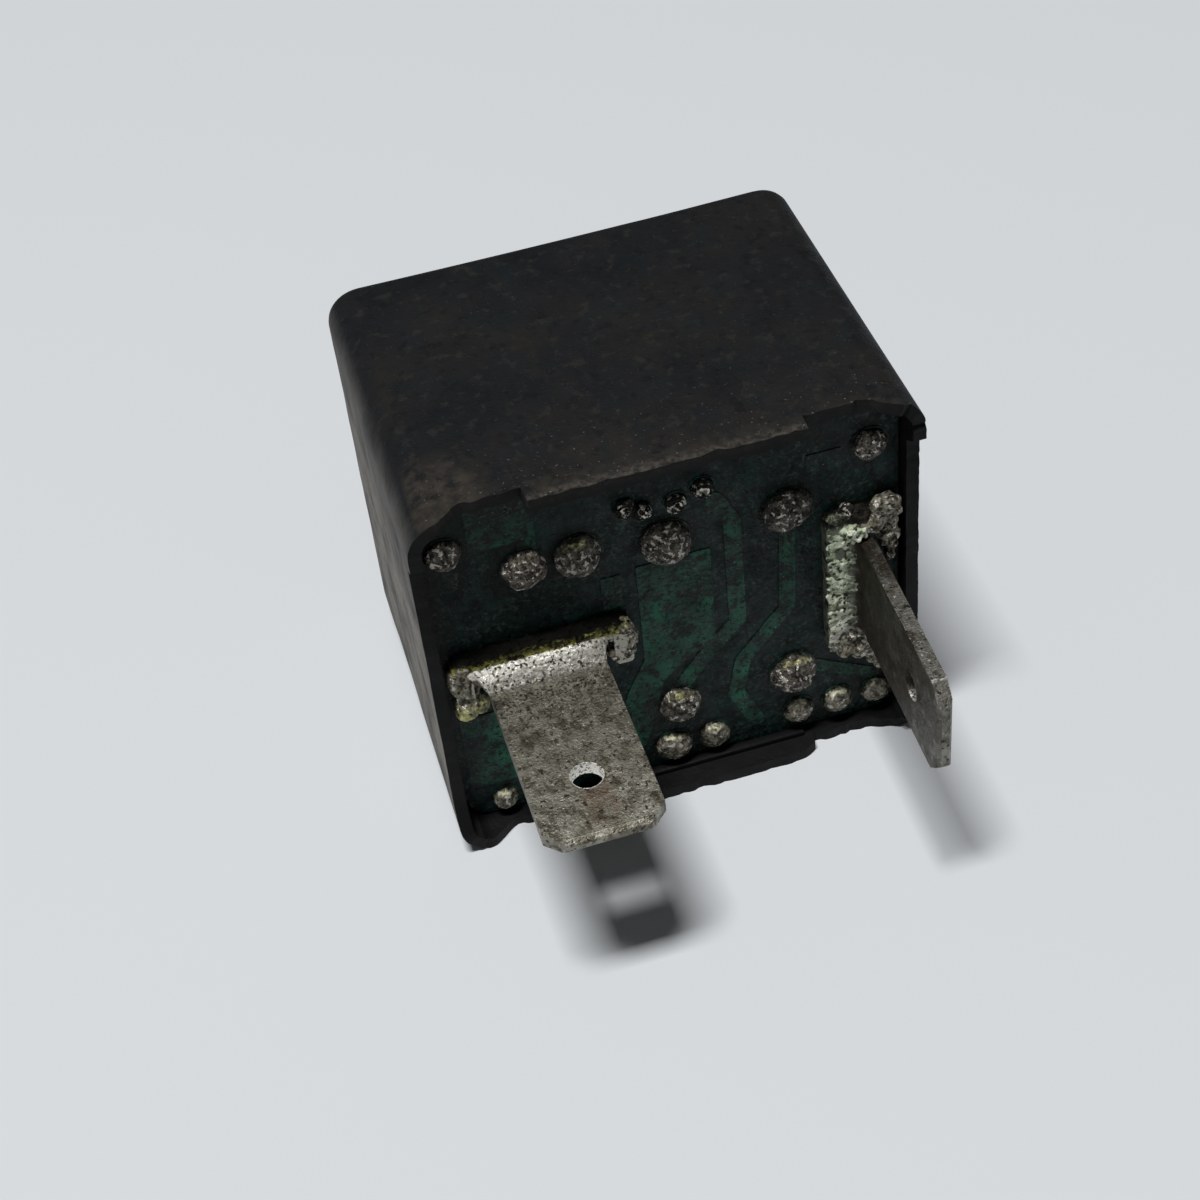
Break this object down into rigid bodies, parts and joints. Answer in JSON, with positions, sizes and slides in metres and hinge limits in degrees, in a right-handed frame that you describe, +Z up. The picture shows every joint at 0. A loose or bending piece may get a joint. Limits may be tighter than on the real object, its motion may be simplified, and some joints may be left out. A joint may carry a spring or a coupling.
{
  "type": "automotive relay",
  "caption": "Cube-shaped automotive relay: moulded cover over a circuit board with two blade terminals at right angles, and a sprung armature relay inside.",
  "frame": {"origin": "under the middle of the whole box, on the surface that the cover's lower side wall rests on", "axes": "+Z up as it lies, -Y the way the blades point, +Y towards the closed end of the cover, +X to the right when looking at the board"},
  "size_m": [0.0266, 0.0312, 0.0241],
  "materials": {
    "cover_plastic": "moulded, worn matt",
    "board": "glass-epoxy with green mask, dusty",
    "masked_copper": "copper under green mask",
    "solder": "dull grey, grainy",
    "terminal_tin": "tinned brass, dull and speckled",
    "iron": "zinc plated",
    "bobbin_plastic": "moulded natural nylon",
    "enamelled_wire": "enamelled copper",
    "tinned_wire": "tinned copper",
    "bronze": "rolled phosphor bronze",
    "contact_silver": "silver alloy",
    "spring_steel": "drawn wire",
    "sleeved_can": "aluminium in a dark shrink sleeve",
    "bung_rubber": "moulded rubber",
    "resistance_wire": "oxidised resistance wire",
    "resistor_lacquer_left": "beige lacquer",
    "resistor_lacquer_right": "pale blue lacquer",
    "diode_body": "moulded epoxy",
    "transistor_body": "moulded epoxy",
    "transistor_metal": "plated",
    "disc_lacquer": "dipped lacquer"
  },
  "bodies": {
    "base": {"cover": "cover_plastic", "circuit_board": "board", "copper_tracks": "masked_copper", "solder_joints": "solder", "terminal_left": "terminal_tin", "terminal_right": "terminal_tin", "terminal_left_solder": "solder", "terminal_right_solder": "solder", "yoke": "iron", "core": "iron", "bobbin": "bobbin_plastic", "coil_winding": "enamelled_wire", "coil_pin_left": "tinned_wire", "coil_pin_right": "tinned_wire", "fixed_contact_strip": "bronze", "fixed_contact": "contact_silver", "return_spring": "spring_steel", "capacitor_can": "sleeved_can", "capacitor_bung": "bung_rubber", "capacitor_leads": "tinned_wire", "shunt_wire": "resistance_wire", "resistor_left": "resistor_lacquer_left", "resistor_left_leads": "tinned_wire", "resistor_right": "resistor_lacquer_right", "resistor_right_leads": "tinned_wire", "diode": "diode_body", "diode_leads": "tinned_wire", "power_transistor": "transistor_body", "transistor_plate": "transistor_metal", "transistor_leads": "tinned_wire", "disc_capacitor": "disc_lacquer", "disc_capacitor_leads": "tinned_wire"},
    "armature_group": {"armature": "iron", "contact_leaf": "bronze", "leaf_rivets": "iron", "moving_contact": "contact_silver"}
  },
  "joints": [
    {"name": "armature_hinge", "type": "hinge", "parent": "base", "child": "armature_group", "pos_m": [0.00315, 0.01075, 0.0181], "axis": [-1, 0, 0], "range_deg": [0, 3], "stiffness_Nm_per_rad": 0.0024, "springref_deg": -28.65}
  ]
}
